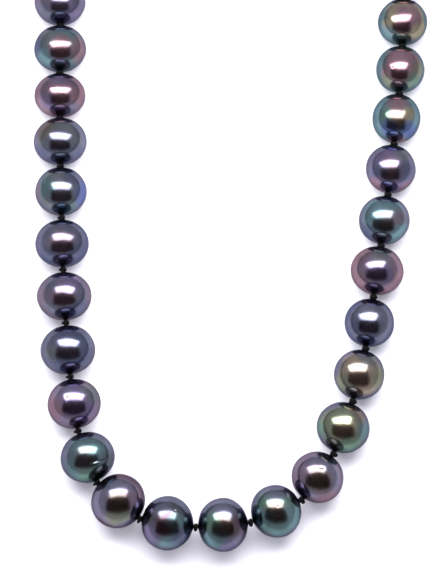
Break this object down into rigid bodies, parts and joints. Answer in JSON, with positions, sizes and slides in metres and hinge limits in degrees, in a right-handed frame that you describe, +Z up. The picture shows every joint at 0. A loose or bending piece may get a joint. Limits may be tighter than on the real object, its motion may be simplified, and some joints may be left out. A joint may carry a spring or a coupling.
{
  "type": "pearl necklace",
  "caption": "Single strand of drilled, off-round dark pearls, hand-knotted on black silk, with gimp loops and a lobster-claw clasp; every knot bends.",
  "frame": {"origin": "centre of the bounding box's bottom face, on the surface that the necklace lies on", "axes": "+Z up, away from the surface; +Y along the loop towards the clasp; +X to the right seen from above"},
  "size_m": [0.0802, 0.1982, 0.0103],
  "materials": {
    "pearl_slate": "polished dark nacre with a grey-lavender overtone",
    "pearl_indigo": "polished dark nacre with a blue-violet overtone",
    "pearl_aubergine": "polished dark nacre with a plum overtone",
    "pearl_teal": "polished dark nacre with a peacock green overtone",
    "pearl_bronze": "polished dark nacre with a olive-gold overtone",
    "pearl_rose": "polished dark nacre with a rose-mauve overtone",
    "silk": "twisted black silk cord",
    "gimp_wire": "fine coiled silver wire",
    "silver": "polished white metal",
    "steel": "steel"
  },
  "bodies": {
    "pearl_01": {"pearl_01": "pearl_slate", "gimp_left": "gimp_wire"},
    "pearl_02": {"pearl_02": "pearl_teal"},
    "pearl_03": {"pearl_03": "pearl_aubergine"},
    "pearl_04": {"pearl_04": "pearl_indigo"},
    "pearl_05": {"pearl_05": "pearl_rose"},
    "pearl_06": {"pearl_06": "pearl_slate"},
    "pearl_07": {"pearl_07": "pearl_teal"},
    "pearl_08": {"pearl_08": "pearl_bronze"},
    "pearl_09": {"pearl_09": "pearl_slate"},
    "pearl_10": {"pearl_10": "pearl_slate"},
    "pearl_11": {"pearl_11": "pearl_teal"},
    "pearl_12": {"pearl_12": "pearl_rose"},
    "pearl_13": {"pearl_13": "pearl_indigo"},
    "pearl_14": {"pearl_14": "pearl_indigo"},
    "pearl_15": {"pearl_15": "pearl_slate"},
    "pearl_16": {"pearl_16": "pearl_slate"},
    "pearl_17": {"pearl_17": "pearl_indigo"},
    "pearl_18": {"pearl_18": "pearl_aubergine"},
    "pearl_19": {"pearl_19": "pearl_teal"},
    "pearl_20": {"pearl_20": "pearl_aubergine"},
    "pearl_21": {"pearl_21": "pearl_teal"},
    "pearl_22": {"pearl_22": "pearl_aubergine", "silk_thread": "silk"},
    "pearl_23": {"pearl_23": "pearl_teal"},
    "pearl_24": {"pearl_24": "pearl_slate"},
    "pearl_25": {"pearl_25": "pearl_bronze"},
    "pearl_26": {"pearl_26": "pearl_bronze"},
    "pearl_27": {"pearl_27": "pearl_slate"},
    "pearl_28": {"pearl_28": "pearl_aubergine"},
    "pearl_29": {"pearl_29": "pearl_teal"},
    "pearl_30": {"pearl_30": "pearl_rose"},
    "pearl_31": {"pearl_31": "pearl_bronze"},
    "pearl_32": {"pearl_32": "pearl_rose"},
    "pearl_33": {"pearl_33": "pearl_bronze"},
    "pearl_34": {"pearl_34": "pearl_aubergine"},
    "pearl_35": {"pearl_35": "pearl_slate"},
    "pearl_36": {"pearl_36": "pearl_indigo"},
    "pearl_37": {"pearl_37": "pearl_teal"},
    "pearl_38": {"pearl_38": "pearl_rose"},
    "pearl_39": {"pearl_39": "pearl_aubergine"},
    "pearl_40": {"pearl_40": "pearl_slate"},
    "pearl_41": {"pearl_41": "pearl_bronze"},
    "pearl_42": {"pearl_42": "pearl_indigo"},
    "pearl_43": {"pearl_43": "pearl_slate", "gimp_right": "gimp_wire"},
    "jump_ring": {"jump_ring": "silver"},
    "end_ring": {"end_ring": "silver"},
    "clasp": {"clasp_body": "silver", "clasp_pin": "steel", "clasp_spring": "steel"},
    "clasp_lever": {"clasp_lever": "silver"}
  },
  "joints": [
    {"name": "knot_21", "type": "hinge", "parent": "pearl_22", "child": "pearl_21", "pos_m": [-0.00712, -0.09453, 0.005], "axis": [0, 0, 1], "range_deg": [0, 30], "deforming": ["silk_thread"]},
    {"name": "knot_20", "type": "hinge", "parent": "pearl_21", "child": "pearl_20", "pos_m": [-0.01734, -0.0931, 0.00508], "axis": [0.4118, 0.9113, 0], "range_deg": [-25, 25], "deforming": ["silk_thread"]},
    {"name": "knot_19", "type": "hinge", "parent": "pearl_20", "child": "pearl_19", "pos_m": [-0.02522, -0.08635, 0.0051], "axis": [0, 0, 1], "range_deg": [0, 30], "deforming": ["silk_thread"]},
    {"name": "knot_18", "type": "hinge", "parent": "pearl_19", "child": "pearl_18", "pos_m": [-0.0288, -0.07669, 0.005], "axis": [-0.9678, -0.2516, 0], "range_deg": [-25, 25], "deforming": ["silk_thread"]},
    {"name": "knot_17", "type": "hinge", "parent": "pearl_18", "child": "pearl_17", "pos_m": [-0.03039, -0.06646, 0.00505], "axis": [0, 0, 1], "range_deg": [0, 30], "deforming": ["silk_thread"]},
    {"name": "knot_16", "type": "hinge", "parent": "pearl_17", "child": "pearl_16", "pos_m": [-0.03134, -0.05623, 0.00515], "axis": [0.9968, 0.0794, 0], "range_deg": [-25, 25], "deforming": ["silk_thread"]},
    {"name": "knot_15", "type": "hinge", "parent": "pearl_16", "child": "pearl_15", "pos_m": [-0.03202, -0.046, 0.00513], "axis": [0, 0, 1], "range_deg": [0, 30], "deforming": ["silk_thread"]},
    {"name": "knot_14", "type": "hinge", "parent": "pearl_15", "child": "pearl_14", "pos_m": [-0.03244, -0.03589, 0.005], "axis": [-0.9993, -0.0371, 0], "range_deg": [-25, 25], "deforming": ["silk_thread"]},
    {"name": "knot_13", "type": "hinge", "parent": "pearl_14", "child": "pearl_13", "pos_m": [-0.03277, -0.02579, 0.00499], "axis": [0, 0, 1], "range_deg": [0, 30], "deforming": ["silk_thread"]},
    {"name": "knot_12", "type": "hinge", "parent": "pearl_13", "child": "pearl_12", "pos_m": [-0.03302, -0.0162, 0.00496], "axis": [0.9998, 0.0209, 0], "range_deg": [-25, 25], "deforming": ["silk_thread"]},
    {"name": "knot_11", "type": "hinge", "parent": "pearl_12", "child": "pearl_11", "pos_m": [-0.03316, -0.00717, 0.00493], "axis": [0, 0, 1], "range_deg": [0, 30], "deforming": ["silk_thread"]},
    {"name": "knot_10", "type": "hinge", "parent": "pearl_11", "child": "pearl_10", "pos_m": [-0.0332, 0.00233, 0.00495], "axis": [-0.9998, -0.0204, 0], "range_deg": [-25, 25], "deforming": ["silk_thread"]},
    {"name": "knot_09", "type": "hinge", "parent": "pearl_10", "child": "pearl_09", "pos_m": [-0.03355, 0.0119, 0.0049], "axis": [0, 0, 1], "range_deg": [0, 30], "deforming": ["silk_thread"]},
    {"name": "knot_08", "type": "hinge", "parent": "pearl_09", "child": "pearl_08", "pos_m": [-0.03421, 0.02162, 0.00488], "axis": [0.9979, 0.0653, 0], "range_deg": [-25, 25], "deforming": ["silk_thread"]},
    {"name": "knot_07", "type": "hinge", "parent": "pearl_08", "child": "pearl_07", "pos_m": [-0.03482, 0.0313, 0.0049], "axis": [0, 0, 1], "range_deg": [0, 30], "deforming": ["silk_thread"]},
    {"name": "knot_06", "type": "hinge", "parent": "pearl_07", "child": "pearl_06", "pos_m": [-0.03536, 0.04121, 0.00488], "axis": [-0.9999, -0.0107, 0], "range_deg": [-25, 25], "deforming": ["silk_thread"]},
    {"name": "knot_05", "type": "hinge", "parent": "pearl_06", "child": "pearl_05", "pos_m": [-0.03503, 0.05086, 0.00483], "axis": [0, 0, 1], "range_deg": [0, 30], "deforming": ["silk_thread"]},
    {"name": "knot_04", "type": "hinge", "parent": "pearl_05", "child": "pearl_04", "pos_m": [-0.03389, 0.06064, 0.0048], "axis": [0.9835, -0.1807, 0], "range_deg": [-25, 25], "deforming": ["silk_thread"]},
    {"name": "knot_03", "type": "hinge", "parent": "pearl_04", "child": "pearl_03", "pos_m": [-0.03151, 0.07002, 0.00478], "axis": [0, 0, 1], "range_deg": [-20, 30], "deforming": ["silk_thread"]},
    {"name": "knot_02", "type": "hinge", "parent": "pearl_03", "child": "pearl_02", "pos_m": [-0.02784, 0.07911, 0.00475], "axis": [-0.8763, 0.4818, 0], "range_deg": [-25, 25], "deforming": ["silk_thread"]},
    {"name": "knot_01", "type": "hinge", "parent": "pearl_02", "child": "pearl_01", "pos_m": [-0.02223, 0.0869, 0.00473], "axis": [0, 0, 1], "range_deg": [-20, 30], "deforming": ["silk_thread"]},
    {"name": "knot_22", "type": "hinge", "parent": "pearl_22", "child": "pearl_23", "pos_m": [0.0029, -0.09366, 0.00495], "axis": [-0.251, 0.968, 0], "range_deg": [-25, 25], "deforming": ["silk_thread"]},
    {"name": "knot_23", "type": "hinge", "parent": "pearl_23", "child": "pearl_24", "pos_m": [0.01224, -0.08951, 0.0049], "axis": [0, 0, -1], "range_deg": [0, 30], "deforming": ["silk_thread"]},
    {"name": "knot_24", "type": "hinge", "parent": "pearl_24", "child": "pearl_25", "pos_m": [0.01816, -0.08096, 0.00493], "axis": [0.8881, -0.4597, 0], "range_deg": [-25, 25], "deforming": ["silk_thread"]},
    {"name": "knot_25", "type": "hinge", "parent": "pearl_25", "child": "pearl_26", "pos_m": [0.02179, -0.07106, 0.00485], "axis": [0, 0, -1], "range_deg": [0, 30], "deforming": ["silk_thread"]},
    {"name": "knot_26", "type": "hinge", "parent": "pearl_26", "child": "pearl_27", "pos_m": [0.02429, -0.06101, 0.00473], "axis": [-0.9797, 0.2004, 0], "range_deg": [-25, 25], "deforming": ["silk_thread"]},
    {"name": "knot_27", "type": "hinge", "parent": "pearl_27", "child": "pearl_28", "pos_m": [0.02586, -0.05116, 0.00485], "axis": [0, 0, -1], "range_deg": [0, 30], "deforming": ["silk_thread"]},
    {"name": "knot_28", "type": "hinge", "parent": "pearl_28", "child": "pearl_29", "pos_m": [0.02739, -0.04128, 0.00491], "axis": [0.9888, -0.1489, 0], "range_deg": [-25, 25], "deforming": ["silk_thread"]},
    {"name": "knot_29", "type": "hinge", "parent": "pearl_29", "child": "pearl_30", "pos_m": [0.02885, -0.03131, 0.00479], "axis": [0, 0, -1], "range_deg": [0, 30], "deforming": ["silk_thread"]},
    {"name": "knot_30", "type": "hinge", "parent": "pearl_30", "child": "pearl_31", "pos_m": [0.03015, -0.02129, 0.00468], "axis": [-0.9928, 0.1201, 0], "range_deg": [-25, 25], "deforming": ["silk_thread"]},
    {"name": "knot_31", "type": "hinge", "parent": "pearl_31", "child": "pearl_32", "pos_m": [0.03128, -0.01123, 0.00463], "axis": [0, 0, -1], "range_deg": [0, 30], "deforming": ["silk_thread"]},
    {"name": "knot_32", "type": "hinge", "parent": "pearl_32", "child": "pearl_33", "pos_m": [0.03201, -0.00168, 0.0047], "axis": [0.9983, -0.059, 0], "range_deg": [-25, 25], "deforming": ["silk_thread"]},
    {"name": "knot_33", "type": "hinge", "parent": "pearl_33", "child": "pearl_34", "pos_m": [0.03241, 0.00788, 0.00475], "axis": [0, 0, -1], "range_deg": [0, 30], "deforming": ["silk_thread"]},
    {"name": "knot_34", "type": "hinge", "parent": "pearl_34", "child": "pearl_35", "pos_m": [0.03316, 0.0175, 0.00478], "axis": [-0.9957, 0.0927, 0], "range_deg": [-25, 25], "deforming": ["silk_thread"]},
    {"name": "knot_35", "type": "hinge", "parent": "pearl_35", "child": "pearl_36", "pos_m": [0.0342, 0.0271, 0.00475], "axis": [0, 0, -1], "range_deg": [0, 30], "deforming": ["silk_thread"]},
    {"name": "knot_36", "type": "hinge", "parent": "pearl_36", "child": "pearl_37", "pos_m": [0.03497, 0.03667, 0.00478], "axis": [0.998, -0.0628, 0], "range_deg": [-25, 25], "deforming": ["silk_thread"]},
    {"name": "knot_37", "type": "hinge", "parent": "pearl_37", "child": "pearl_38", "pos_m": [0.03542, 0.04648, 0.0048], "axis": [0, 0, -1], "range_deg": [0, 30], "deforming": ["silk_thread"]},
    {"name": "knot_38", "type": "hinge", "parent": "pearl_38", "child": "pearl_39", "pos_m": [0.03474, 0.05611, 0.00478], "axis": [-0.9929, -0.1192, 0], "range_deg": [-25, 25], "deforming": ["silk_thread"]},
    {"name": "knot_39", "type": "hinge", "parent": "pearl_39", "child": "pearl_40", "pos_m": [0.03311, 0.06572, 0.00475], "axis": [0, 0, -1], "range_deg": [0, 30], "deforming": ["silk_thread"]},
    {"name": "knot_40", "type": "hinge", "parent": "pearl_40", "child": "pearl_41", "pos_m": [0.03011, 0.07481, 0.00473], "axis": [0.9227, 0.3856, 0], "range_deg": [-25, 25], "deforming": ["silk_thread"]},
    {"name": "knot_41", "type": "hinge", "parent": "pearl_41", "child": "pearl_42", "pos_m": [0.0257, 0.08345, 0.0047], "axis": [0, 0, -1], "range_deg": [-20, 30], "deforming": ["silk_thread"]},
    {"name": "knot_42", "type": "hinge", "parent": "pearl_42", "child": "pearl_43", "pos_m": [0.01912, 0.09044, 0.00468], "axis": [-0.5902, -0.8073, 0], "range_deg": [-25, 25], "deforming": ["silk_thread"]},
    {"name": "jump_ring_swing", "type": "hinge", "parent": "pearl_01", "child": "jump_ring", "pos_m": [-0.01176, 0.09538, 0.0021], "axis": [0, 0, 1], "range_deg": [-18, 40]},
    {"name": "clasp_swing", "type": "hinge", "parent": "jump_ring", "child": "clasp", "pos_m": [-0.00837, 0.09554, 0.0015], "axis": [0, 0, 1], "range_deg": [-60, 60]},
    {"name": "lever_open", "type": "hinge", "parent": "clasp", "child": "clasp_lever", "pos_m": [-0.00501, 0.09435, 0.0015], "axis": [0, 0, 1], "range_deg": [0, 26], "stiffness_Nm_per_rad": 0.004, "springref_deg": -28.65},
    {"name": "end_ring_swing", "type": "hinge", "parent": "pearl_43", "child": "end_ring", "pos_m": [0.00698, 0.09629, 0.0021], "axis": [0, 0, 1], "range_deg": [-60, 30]}
  ]
}
